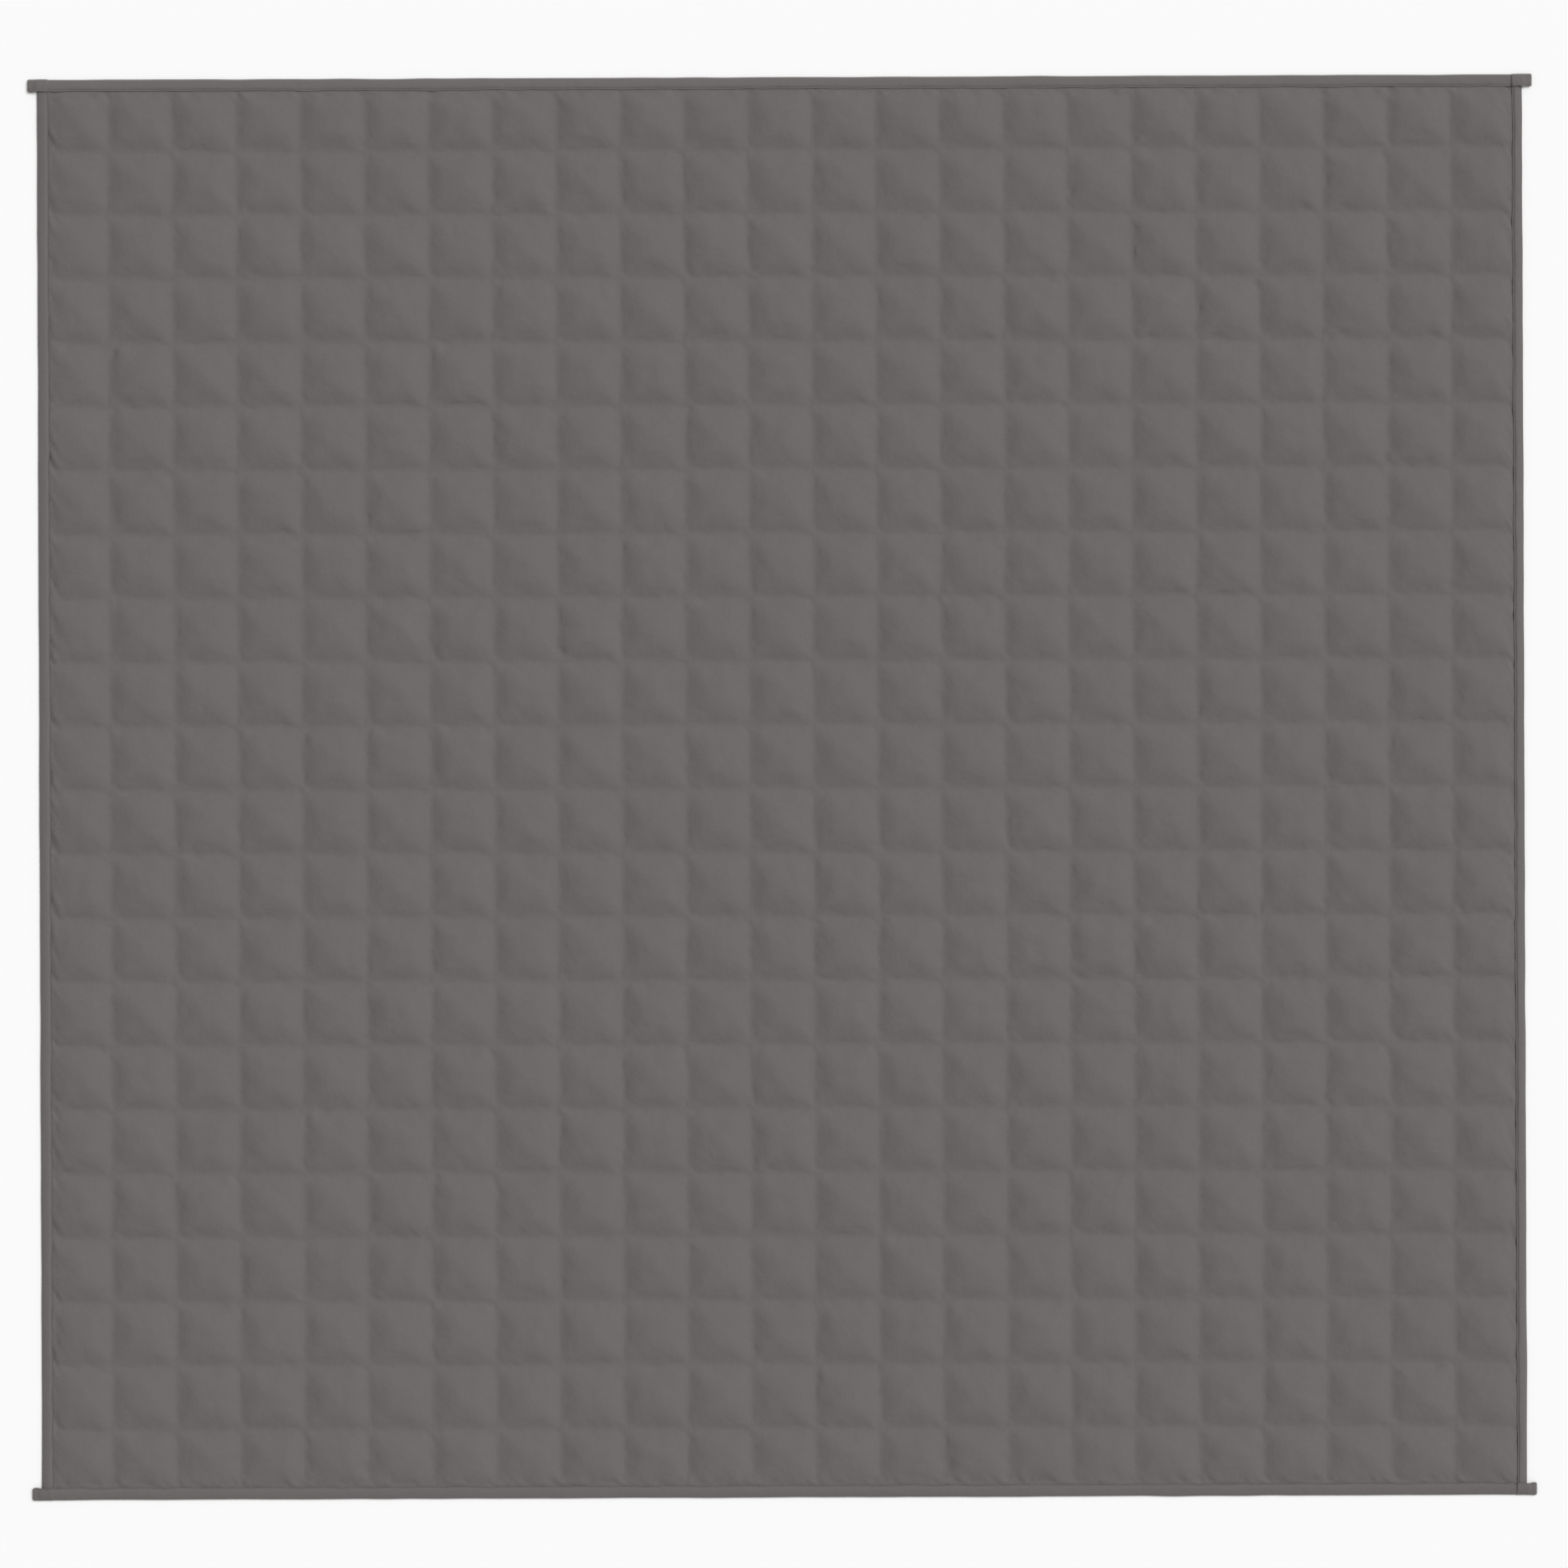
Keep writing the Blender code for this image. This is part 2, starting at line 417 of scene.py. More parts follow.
def gathers(xs, ys):
    """Small folds that the sewing draws along each tape."""
    rng = np.random.default_rng(67)
    grid_x, grid_y = np.meshgrid(xs, ys)
    sides = (
        (grid_x, grid_y - ys[0], GATHER_SLANT),
        (grid_x, ys[-1] - grid_y, -GATHER_SLANT),
        (grid_y, grid_x - xs[0], 1 / GATHER_SLANT),
        (grid_y, xs[-1] - grid_x, -1 / GATHER_SLANT),
    )
    height = np.zeros_like(grid_x)
    for along, inward, slant in sides:
        count = int(np.ptp(along) / GATHER_GRID)
        noise = smooth_noise((count,), (GATHER_PITCH / GATHER_GRID,), rng)
        folds = np.interp(along + slant * inward, np.linspace(along.min(), along.max(), count), noise)
        inward = np.maximum(inward - STITCH_IN - LIP_STRAYS, 0)
        height += GATHER * folds * inward / GATHER_REACH * np.exp(1 - inward / GATHER_REACH)
    return height


UNDER_STITCHING = 0.0034  # the greatest height of the front where a tape is sewn down on it
UNDER_LIP = 0.00385  # and where the tape's inner edge lies on it
LID_ROUNDING = 0.0003
RIM_TOP = 0.0026  # the height of the front at the panel's cut edge, inside the fold


def held_down(height, xs, ys):
    """The heights with the cloth held down under the tapes. From there it may rise by 45 degrees."""
    from_side, from_end = (np.minimum(lines - lines[0], lines[-1] - lines) for lines in (xs, ys))
    inward = np.minimum.outer(from_end, from_side)
    under = np.clip(inward / STITCH_IN, 0, 1) * (UNDER_LIP - UNDER_STITCHING)
    lid = UNDER_STITCHING + under + np.maximum(inward - STITCH_IN - LIP_STRAYS, 0)
    return smooth_minimum(height, lid - SEAM_TOP, LID_ROUNDING)


def rimmed(xs, ys, offsets, rim):
    """One side of the panel, from how far it lies off the flat grid, with a rim of this height."""
    offsets[..., :2] += wander(xs, ys)
    offsets = np.pad(offsets, ((1, 1), (1, 1), (0, 0)), mode="edge")
    offsets[[0, -1], :, 2] = rim
    offsets[:, [0, -1], 2] = rim
    full_x = np.concatenate([[PANEL_X[0]], xs, [PANEL_X[1]]])
    full_y = np.concatenate([[PANEL_Y[0]], ys, [PANEL_Y[1]]])
    grid_x, grid_y = np.meshgrid(full_x, full_y)
    return np.stack([grid_x, grid_y, np.zeros_like(grid_x)], axis=-1) + offsets


LEAST_THICKNESS = 0.0008  # between the front and the back, at the bottom of a fold


def front_points():
    """Every point of the front."""
    xs, ys = divided(EDGES_X, FRONT_STEPS), divided(EDGES_Y, FRONT_STEPS)
    offsets = front_offsets(puckers_and_swell(patch_offsets()))
    height = softened(offsets[..., 2]) + filled_form(xs, ys) + tucks(xs, ys) + gathers(xs, ys)
    height = held_down(height, xs, ys)
    offsets[..., 2] = np.maximum(height, SEAM_BOTTOM + LEAST_THICKNESS - SEAM_TOP) + SEAM_TOP
    return rimmed(xs, ys, offsets, RIM_TOP)


PAD_REACH = 0.012  # how far in from its seams each square of the back comes down onto the surface
PAD_SPREAD = 0.004


def back_points():
    """Every point of the back: squares pressed flat where they lie, with shallow channels between them."""
    xs, ys = divided(EDGES_X, BACK_STEPS), divided(EDGES_Y, BACK_STEPS)
    across, up = np.meshgrid(to_nearest(xs, EDGES_X), to_nearest(ys, EDGES_Y))
    inward = np.minimum(across, up) * PITCH / 2
    rng = np.random.default_rng(31)
    reach = PAD_REACH + PAD_SPREAD * smooth_noise(inward.shape, SMALL_BUMPS, rng)
    share = np.clip(inward / np.maximum(reach, PAD_SPREAD), 0, 1)
    offsets = np.zeros((*inward.shape, 3))
    offsets[..., 2] = SEAM_BOTTOM * (1 - share) ** 2
    return rimmed(xs, ys, offsets, SEAM_BOTTOM)


def normals_of(points):
    """Each point's normal, from its neighbours on the whole grid."""
    along_x = np.gradient(points, axis=1)
    along_y = np.gradient(points, axis=0)
    normals = np.cross(along_x, along_y)
    return normals / np.linalg.norm(normals, axis=-1, keepdims=True)


BANDS = (("left", 0, 8), ("middle", 8, 15), ("right", 15, 23))  # the panel's columns, in three pieces


def band_columns(first, last, steps):
    """The grid lines of these columns, with the rim where they reach a side."""
    start = 0 if first == 0 else first * steps + 1
    end = last * steps + 1 + (1 if last == COLUMNS else 0)
    return slice(start, end + 1)


def joined_lines(upper, lower, upper_at, lower_at):
    """Triangles between two lines of points that run the same way, from each point's index and place."""
    triangles = []
    above, below = 0, 0
    while above < len(upper) - 1 or below < len(lower) - 1:
        at_end = above == len(upper) - 1
        if at_end or (below < len(lower) - 1 and lower_at[below + 1] <= upper_at[above + 1]):
            triangles.append((lower[below], lower[below + 1], upper[above]))
            below += 1
        else:
            triangles.append((lower[below], upper[above + 1], upper[above]))
            above += 1
    return np.array(triangles)


X, Y = 0, 1


def walls(top, under):
    """Triangles that join the rim of one grid of points to the rim of the grid below it."""
    numbers = [np.arange(grid.shape[0] * grid.shape[1]).reshape(grid.shape[:2]) for grid in (top, under)]
    numbers[1] = numbers[1] + numbers[0].size
    rounds = ((np.s_[0], X), (np.s_[:, -1], Y), (np.s_[-1, ::-1], X), (np.s_[::-1, 0], Y))
    sides = []
    for side, axis in rounds:
        places = [np.abs(grid[side][:, axis] - grid[side][0, axis]) for grid in (top, under)]
        sides.append(joined_lines(numbers[0][side], numbers[1][side], *places))
    return np.concatenate(sides)


MAP_MARGIN = 0.01
FRONT_IN_MAP = 0.66  # how far across its map the front reaches, with the back beside it


def face_map(flat, start, end):
    """One side of the panel in its map, from one place across it to another."""
    return flat * (end - start, 1 - 2 * MAP_MARGIN) + (start, MAP_MARGIN)


def panel_map(points, faces, under_from):
    """The panel's map: the front beside the back, with the walls in a strip beside them."""
    low, size = points.min(axis=0)[:2], np.ptp(points, axis=0)[:2]
    flat = (points[:, :2] - low) / size
    front, back, wall = faces
    front_map = face_map(flat[front], MAP_MARGIN, FRONT_IN_MAP)
    back_map = face_map(flat[back], FRONT_IN_MAP + MAP_MARGIN, 1 - 2 * MAP_MARGIN)
    across = 1 - MAP_MARGIN + (wall < under_from) * MAP_MARGIN / 2
    wall_map = np.stack([across, flat[wall].mean(axis=-1)], axis=-1)
    return np.concatenate([some.reshape(-1, 2) for some in (front_map, back_map, wall_map)])


def panel_band(name, first, last, front, back, material):
    """Some columns of the panel as one closed mesh: front, back and the walls between them."""
    front_columns = band_columns(first, last, FRONT_STEPS)
    back_columns = band_columns(first, last, BACK_STEPS)
    top, under = front[:, front_columns], back[:, back_columns]
    top_normals, under_normals = normals_of(front)[:, front_columns], -normals_of(back)[:, back_columns]
    under_from = top.shape[0] * top.shape[1]
    points = np.concatenate([top.reshape(-1, 3), under.reshape(-1, 3)])
    faces = (
        grid_faces(*top.shape[:2]),
        grid_faces(*under.shape[:2])[:, ::-1] + under_from,
        walls(top, under),
    )
    mesh = mesh_of(name, points, *faces)
    lay_map(mesh, panel_map(points, faces, under_from))
    normals = np.concatenate([top_normals.reshape(-1, 3), under_normals.reshape(-1, 3)])
    mesh.normals_split_custom_set_from_vertices(normals.astype(np.float32))
    band = linked(name, mesh)
    mesh.materials.append(material)
    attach(band, "root")
    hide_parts("quilted_panel")


# ---- The folded tapes ----

TAPE_LAYER = 0.0009  # the tape doubled, with its long edges turned in
TAPE_CROWN = 0.76  # the share of its width over which it rises from its fold
TAPE_ROUND = 0.8
TAPE_COVER = 0.0042  # the height of its inside, over the panel's edge
TAPE_PUFF = 0.0009  # how far it swells over that edge
TAPE_SEWN = 0.00045  # how far its stitching draws it down
STITCH_DIP = 0.00015
STITCH_WIDTH = 0.0007
LIP_LIFT = 0.00025
UNDER_SETBACK = 0.0040  # how much narrower it is underneath
FOLD_HEIGHT = 0.0022
FOLD_RADIUS = 0.0018  # under the fold
LEAST_GAP = 0.00005
LIP_ROUND = 0.0002  # how far the rounded lip stands out between its two faces
INSIDE_FOLD = 0.0003  # how much thicker the tape is at its fold
PUFF_SPREAD = 0.15
SECTION_STEP = 0.007

ROLL_SHARES = TAPE_CROWN * (1 - np.cos(np.linspace(0, np.pi / 2, 9)))
FROM_LIP = np.array([0.0032, 0.0026, 0.0019, STITCH_IN, 0.0008, 0.0004, 0])
INNER_SHARES = np.array([1.0, 0.93, 0.86, 0.74, 0.5, 0.3, 0.15])
LOWER_SHARES = np.array([1.0, 0.7, 0.35])
FLOOR_SHARES = np.array([0.15, 0.5, 1.0])
TURN_POINTS = 4
STITCH_POINT = len(LOWER_SHARES) + TURN_POINTS + len(ROLL_SHARES) + 3  # of a section's ring


def eased(value, start, end):
    """From 0 at start to 1 at end, without a corner."""
    share = np.clip((value - start) / (end - start), 0, 1)
    return share**2 * (3 - 2 * share)


def tape_top(share, tape):
    """The height of a tape's upper face, this share of its width in from its fold."""
    roll = (1 - (1 - np.clip(share / TAPE_CROWN, 0, 1)) ** 2) ** TAPE_ROUND
    from_lip = (1 - share) * tape["width"]
    down = eased(share, TAPE_CROWN, 1 - STITCH_IN / tape["width"])
    dip = STITCH_DIP * np.exp(-(((from_lip - STITCH_IN) / STITCH_WIDTH) ** 2))
    lip = (LIP_LIFT + tape["gape"]) * np.clip(1 - from_lip / STITCH_IN, 0, 1)
    swell = tape["puff"] * (1 - down) - tape["sewn"] * down
    level = tape["cover"] + tape["layer"] + swell - dip + lip
    return tape["fold"] + (level - tape["fold"]) * roll


def tape_ring(tape):
    """The points round each section of a folded tape: (inward from the fold, height)."""
    width, out = tape["width"], tape["out"]
    arc = np.linspace(np.pi / 2, 0, TURN_POINTS + 1)[:-1]
    lower = (width - tape["setback"]) * LOWER_SHARES
    under = np.stack([lower, np.zeros_like(lower)], axis=-1)
    turn = np.stack([-out + FOLD_RADIUS * (1 - np.cos(arc)), tape["fold"] * (1 - np.sin(arc))], axis=-1)
    shares = np.concatenate([ROLL_SHARES, 1 - FROM_LIP / width.mean()])
    upper = np.stack([-out + (width + out) * shares, tape_top(shares, tape)], axis=-1)
    upper[..., 1] += tape["ripple"] * np.sin(np.pi * shares)
    lip = upper[:, -1:] + np.stack([np.full_like(width, LIP_ROUND), -tape["layer"] / 2], axis=-1)
    inside = np.maximum(tape_top(INNER_SHARES, tape) - tape["layer"], tape["fold"] + LEAST_GAP)
    inner = np.stack([-out + (width + out) * INNER_SHARES, inside], axis=-1)
    deepest = np.stack([-out + TAPE_LAYER + INSIDE_FOLD, tape["fold"]], axis=-1)
    floor_line = (width - tape["setback"]) * FLOOR_SHARES
    floor_up = np.minimum(tape["floor"], tape["fold"] - LEAST_GAP) + np.zeros_like(floor_line)
    bottom = np.stack([floor_line, floor_up], axis=-1)
    return np.concatenate([under, turn, upper, lip, inner, deepest, bottom], axis=1)


LIP_WAVE = 0.0004
MOST_WAVE = 2  # of its own spread, so that the edge keeps within LIP_STRAYS
FOLD_WAVE = 0.0002
RIPPLE = 0.00018
GAPE = 0.00015  # how far a tape's inner edge stands off where a seam runs in under it
GAPE_REACH = 0.010


def tape_sections(along, width, seams, seed):
    """What each section of a tape is like, before its ends are shaped."""
    rng = np.random.default_rng(seed)
    count = len(along)
    column = (count, 1)
    to_seam = np.abs(along[:, None] - seams[None, :]).min(axis=1).reshape(column)
    ripple_shape = (count, len(ROLL_SHARES) + len(FROM_LIP))
    return {
        "width": width + LIP_WAVE * np.clip(smooth_noise(column, (4, 1), rng), -MOST_WAVE, MOST_WAVE),
        "out": FOLD_WAVE * smooth_noise(column, (9, 1), rng),
        "cover": np.full(column, TAPE_COVER),
        "layer": np.full(column, TAPE_LAYER),
        "puff": TAPE_PUFF * (1 + PUFF_SPREAD * smooth_noise(column, (5, 1), rng)),
        "sewn": np.full(column, TAPE_SEWN),
        "gape": GAPE * np.exp(-((to_seam / GAPE_REACH) ** 2)),
        "fold": np.full(column, FOLD_HEIGHT),
        "floor": np.full(column, TAPE_LAYER),
        "setback": np.full(column, UNDER_SETBACK),
        "ripple": RIPPLE * smooth_noise(ripple_shape, (2.5, 6), rng),
    }


TURNED_LAYER = 0.0016  # four thicknesses
TURNED_COVER = 0.0054  # over the end of the side tape
TURNED_SEWN = 0.0001
STANDS_UP = 0.0010  # how much higher the end that stands up most lies over it
TAB_COVER = 0.0026
TAB_SEWN = 0.0002
TAB_SETBACK = 0.0002
TAB_CLOSED = 0.45  # the share of a tab's length over which it is pressed shut
TURN_EDGE = 0.0004  # half the length over which the turned-back end steps down
TIP_ROUND = 0.0028
TIP_LEAST = 0.12  # the share of its section that is left at its tip


def shape_ends(tape, from_tip, stands_up):
    """Doubles a tape's ends, lifts them over the side tapes and closes the tabs past those."""
    doubled = 1 - eased(from_tip, TURNED_BACK - TURN_EDGE, TURNED_BACK + TURN_EDGE)
    side = TAB_TIP - RIGHT_TAPE[1]
    tab = 1 - eased(from_tip, side * TAB_CLOSED, side)
    over_side = {
        "layer": TURNED_LAYER,
        "cover": TURNED_COVER + STANDS_UP * stands_up,
        "puff": TAPE_PUFF * stands_up / 2,
        "sewn": TURNED_SEWN,
    }
    in_tab = {
        "cover": TAB_COVER,
        "puff": TAPE_PUFF,
        "sewn": TAB_SEWN,
        "floor": FOLD_HEIGHT - LEAST_GAP,
        "setback": TAB_SETBACK,
    }
    for changed, amount in ((over_side, doubled), (in_tab, tab)):
        for name, target in changed.items():
            tape[name] = tape[name] + (target - tape[name]) * amount
    tape["out"] = tape["out"] + TURN_OUT * doubled
    tape["gape"] = tape["gape"] * (1 - doubled)


def round_tips(ring, from_tip):
    """Draws a tape's ring in towards its middle at its tips."""
    deep = np.clip(1 - from_tip / TIP_ROUND, 0, 1)
    drawn = TIP_ROUND * (1 - np.sqrt(1 - deep**2))[..., None]
    middle = (ring.max(axis=1, keepdims=True) + ring.min(axis=1, keepdims=True)) / 2
    half = np.ptp(ring, axis=1)[:, None] / 2
    share = np.maximum(1 - drawn / half, TIP_LEAST)
    return middle + (ring - middle) * share


def placed(ring, along, turn, edge):
    """A tape's points in place: turned about Z, with its fold moved out to its edge of the blanket."""
    points = np.empty((*ring.shape[:2], 3))
    points[..., 0] = along[:, None]
    points[..., 1] = ring[..., 0] - edge
    points[..., 2] = ring[..., 1]
    cos, sin = math.cos(turn), math.sin(turn)
    return points @ np.array([(cos, sin, 0), (-sin, cos, 0), (0, 0, 1)])


SHARP_TURN = math.radians(65)
MAP_ROWS = 8  # a tape is long, so its map is laid in this many rows
ROW_MARGIN = 0.04  # of a row
CAP_MARGIN = 0.1  # of the map's margin, which holds the end caps


def caps_map(ring):
    """The map of a tape's two end caps, in the margin at two corners."""
    inset, size = CAP_MARGIN * MAP_MARGIN, (1 - 2 * CAP_MARGIN) * MAP_MARGIN
    places = []
    for section, corner in ((ring[0], inset), (ring[-1], 1 - inset - size)):
        share = (section - section.min(axis=0)) / np.ptp(section, axis=0)
        places.append(share * size + (corner, inset))
    return places


def tape_map(along, ring_count):
    """The map of a tape's length: rows of equal length above each other."""
    share = (along - along[0]) / (along[-1] - along[0]) * MAP_ROWS
    row = np.minimum(((share[:-1] + share[1:]) / 2).astype(int), MAP_ROWS - 1)
    start, end = share[:-1] - row, share[1:] - row
    low, high = np.arange(ring_count) / ring_count, (np.arange(ring_count) + 1) / ring_count
    tall = (1 - 2 * MAP_MARGIN) / MAP_ROWS
    corners = []
    for at, up in ((end, low), (end, high), (start, high), (start, low)):
        across = np.clip(at, 0, 1)[:, None] * (1 - 2 * MAP_MARGIN) + np.zeros(ring_count)
        height = (row[:, None] + ROW_MARGIN + (1 - 2 * ROW_MARGIN) * up[None, :]) * tall
        corners.append(np.stack([across, height], axis=-1) + MAP_MARGIN)
    return np.stack(corners, axis=2).reshape(-1, 2)


def tube_faces(sections, ring_count):
    """The faces of a tube through rings of points: those from each ring to the next, and its two ends."""
    number = np.arange(sections * ring_count).reshape(sections, ring_count)
    following = np.roll(number, -1, axis=1)
    around = (number[1:], following[1:], following[:-1], number[:-1])
    return np.stack(around, axis=-1).reshape(-1, 4), np.array([number[0], number[-1, ::-1]])


def folded_tape(name, along, ring, turn, edge, material):
    """One tape as a closed mesh, in place of its solid."""
    points = placed(ring, along, turn, edge)
    mesh = mesh_of(name, points.reshape(-1, 3), *tube_faces(*ring.shape[:2]))
    mesh.set_sharp_from_angle(angle=SHARP_TURN)
    first_cap, last_cap = caps_map(ring)
    lay_map(mesh, np.concatenate([tape_map(along, ring.shape[1]), first_cap, last_cap[::-1]]))
    tape = linked(name, mesh)
    mesh.materials.append(material)
    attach(tape, "root")
    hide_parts(name.replace("_tape", ""))
    return points[:, STITCH_POINT]


NEAR_STEP = np.array([-2, -1, -0.4, 0, 0.4, 1])  # sections where its end steps down, in TURN_EDGE
TIP_SECTIONS = 6
TURNED_SECTIONS = 12
PLAIN_FROM = 0.003  # how far past the step its even sections begin


def end_tape(name, turn, edge, width, seams, stand_up, seed, material):
    """The top or the bottom tape, with its turned-back ends. Returns where its stitching runs."""
    step = TAB_TIP - TURNED_BACK
    plain = np.linspace(-step + PLAIN_FROM, step - PLAIN_FROM, round(2 * step / SECTION_STEP))
    near_step = TURNED_BACK + NEAR_STEP * TURN_EDGE
    tip = TIP_ROUND * (1 - np.cos(np.linspace(0, np.pi / 2, TIP_SECTIONS)))
    between = np.linspace(TIP_ROUND, near_step[0], TURNED_SECTIONS)[1:-1]
    half = TAB_TIP - np.concatenate([tip, between, near_step])
    along = np.concatenate([-half, plain, half[::-1]])
    tape = tape_sections(along, width, seams, seed)
    from_tip = (TAB_TIP - np.abs(along))[:, None]
    shape_ends(tape, from_tip, np.where(along < 0, *stand_up)[:, None])
    ring = round_tips(tape_ring(tape), from_tip)
    return folded_tape(name, along, ring, turn, edge, material)


TUCKED_UNDER = 0.0010  # how far a side tape runs in under the top and bottom ones
PRESSED_REACH = 0.012  # how far from its ends they press it down
NARROWED = 0.0150  # its width under their turned-back ends, which lie higher than the rest of them
NARROWED_FROM, NARROWED_TO = 0.003, 0.008  # how far from its ends it widens again


def side_tape(name, turn, edge, width, seams, seed, material):
    """A side tape, which runs in under the top and bottom ones. Returns where its stitching runs."""
    low, high = BOTTOM_TAPE[1] - TUCKED_UNDER, TOP_TAPE[0] + TUCKED_UNDER
    along = np.linspace(low, high, round((high - low) / SECTION_STEP))
    along = np.sort(along * math.sin(turn))
    tape = tape_sections(along, width, seams * math.sin(turn), seed)
    from_end = np.minimum(along - along[0], along[-1] - along)[:, None]
    free = eased(from_end, TUCKED_UNDER, PRESSED_REACH)
    tape["puff"] = tape["puff"] * free
    tape["ripple"] = tape["ripple"] * free
    full = eased(from_end, NARROWED_FROM, NARROWED_TO)
    tape["width"] = np.minimum(tape["width"], NARROWED) * (1 - full) + tape["width"] * full
    return folded_tape(name, along, tape_ring(tape), turn, edge, material)


STAND_UP_BOTTOM = (0.2, 0.5)  # how much the left and the right turned-back end stand up, from 0 to 1
STAND_UP_TOP = (1.0, 0.3)  # the right and the left one, as this tape lies the other way round


def tapes(material):
    """All four tapes. Returns where the stitching of each runs."""
    seams_x, seams_y = EDGES_X[1:-1], EDGES_Y[1:-1]
    bottom, top = -BOTTOM_TAPE[0], TOP_TAPE[1]
    right, left = RIGHT_TAPE[1], -LEFT_TAPE[0]
    bottom_wide, top_wide = BOTTOM_LIP + bottom, top - TOP_LIP
    right_wide, left_wide = right - RIGHT_TAPE[0], LEFT_LIP + left
    return (
        end_tape("binding_bottom_tape", 0, bottom, bottom_wide, seams_x, STAND_UP_BOTTOM, 101, material),
        end_tape("binding_top_tape", math.pi, top, top_wide, -seams_x, STAND_UP_TOP, 102, material),
        side_tape("binding_right_tape", math.pi / 2, right, right_wide, seams_y, 103, material),
        side_tape("binding_left_tape", -math.pi / 2, left, left_wide, seams_y, 104, material),
    )


# ---- Thread ----

THREAD_HALF = 0.00032  # half its width
THREAD_RISE = 0.00042  # over the cloth
THREAD_SINK = 0.00012  # into it
QUILTING_STITCH = 0.0045
TAPE_STITCH = 0.0033
STITCH_SHARE = 0.8  # of the stitch length that the thread shows
STITCH_SHOULDER = 0.2  # the share of a stitch over which it comes up out of the cloth
ROUND_BASE = 0.6  # how far up its shading turns where it meets the cloth
ROUND_END = 0.3  # and how far it leans towards its ends


def stitched(lines, length):
    """The two ends of each stitch along some lines of points."""
    starts, ends = [], []
    for line in lines:
        along = np.concatenate([[0], np.cumsum(np.linalg.norm(np.diff(line, axis=0), axis=1))])
        count = int(along[-1] / length)
        for shift, found in ((0, starts), (STITCH_SHARE, ends)):
            at = (np.arange(count) + shift + (1 - STITCH_SHARE) / 2) * along[-1] / count
            found.append(np.stack([np.interp(at, along, line[:, k]) for k in range(3)], axis=-1))
    return np.concatenate(starts), np.concatenate(ends)


def stitch_faces(count):
    """The faces of this many stitches: a point at each end and two rings of three points between them."""
    sides = ((0, 1), (1, 2), (2, 0))
    near = [(1 + one, 1 + other, 0) for one, other in sides]
    far = [(4 + other, 4 + one, 7) for one, other in sides]
    between = [(1 + one, 4 + one, 4 + other, 1 + other) for one, other in sides]
    shift = 8 * np.arange(count)[:, None, None]
    return [(np.array(faces)[None] + shift).reshape(-1, len(faces[0])) for faces in (near + far, between)]


CELL_MARGIN = 0.1  # of a stitch's cell in the map


def stitch_map(count):
    """The map of this many stitches, each unrolled in a cell of its own, in the order of their faces."""
    start, end = STITCH_SHOULDER, 1 - STITCH_SHOULDER
    rows = [(k / 3, (k + 1) / 3, (k + 0.5) / 3) for k in range(3)]
    tips = [((start, low), (start, high), (0, middle)) for low, high, middle in rows]
    tips += [((end, high), (end, low), (1, middle)) for low, high, middle in rows]
    sides = [((start, low), (end, low), (end, high), (start, high)) for low, high, _ in rows]
    cells = math.ceil(math.sqrt(count))
    cell = np.stack([np.arange(count) % cells, np.arange(count) // cells], axis=-1)[:, None, None]
    places = [cell + CELL_MARGIN + (1 - 2 * CELL_MARGIN) * np.array(some) for some in (tips, sides)]
    return np.concatenate([some.reshape(-1, 2) for some in places]) / cells


def stitch_rings(starts, ends):
    """The points of each stitch and their normals, which are rounder than its few faces."""
    run = ends - starts
    forward = run / np.linalg.norm(run, axis=1, keepdims=True)
    aside = np.cross((0, 0, 1), forward)
    down, up = np.array((0, 0, -THREAD_SINK)), np.array((0, 0, THREAD_RISE))
    upright = np.zeros_like(run) + (0, 0, 1)
    points, normals = [starts + down], [upright - forward]
    for share, lean in ((STITCH_SHOULDER, -forward), (1 - STITCH_SHOULDER, forward)):
        middle = starts + run * share
        points += [middle + aside * THREAD_HALF + down, middle - aside * THREAD_HALF + down, middle + up]
        normals += [aside + upright * ROUND_BASE, -aside + upright * ROUND_BASE, upright + lean * ROUND_END]
    points.append(ends + down)
    normals.append(upright + forward)
    points, normals = (np.stack(some, axis=1).reshape(-1, 3) for some in (points, normals))
    return points, normals / np.linalg.norm(normals, axis=1, keepdims=True)


def thread(name, lines, length, material):
    """The stitches along some lines as one mesh: short rounds of thread, sunk in at their ends."""
    starts, ends = stitched(lines, length)
    points, normals = stitch_rings(starts, ends)
    mesh = mesh_of(name, points, *stitch_faces(len(starts)))
    lay_map(mesh, stitch_map(len(starts)))
    mesh.normals_split_custom_set_from_vertices(normals.astype(np.float32))
    made = linked(name, mesh)
    mesh.materials.append(material)
    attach(made, "root")


def quilting_thread(front, material):
    """The stitching in the furrows of the front."""
    rows = front[1:-1, 1:-1]
    for name, lines in (("across", rows), ("along", rows.swapaxes(0, 1))):
        seams = lines[FRONT_STEPS:-1:FRONT_STEPS]
        thread("quilting_thread_" + name, seams, QUILTING_STITCH, material)


# ---- Materials ----

PANEL_COLOUR = (0.1513, 0.1392, 0.1367)
TAPE_COLOUR = (0.150, 0.1384, 0.1356)
THREAD_COLOUR = (0.166, 0.154, 0.151)
SPECULAR = 0.2
SHEEN = 0.06
SHEEN_ROUGHNESS = 0.5
WEAVE_PITCH = 0.0009
TWILL_PITCH = 0.0011
TWIST_PITCH = 0.0008
BACK_UP_TO = 0.0015  # the stitches of the back show below this height
BACK_THREAD = 0.0003  # half their width


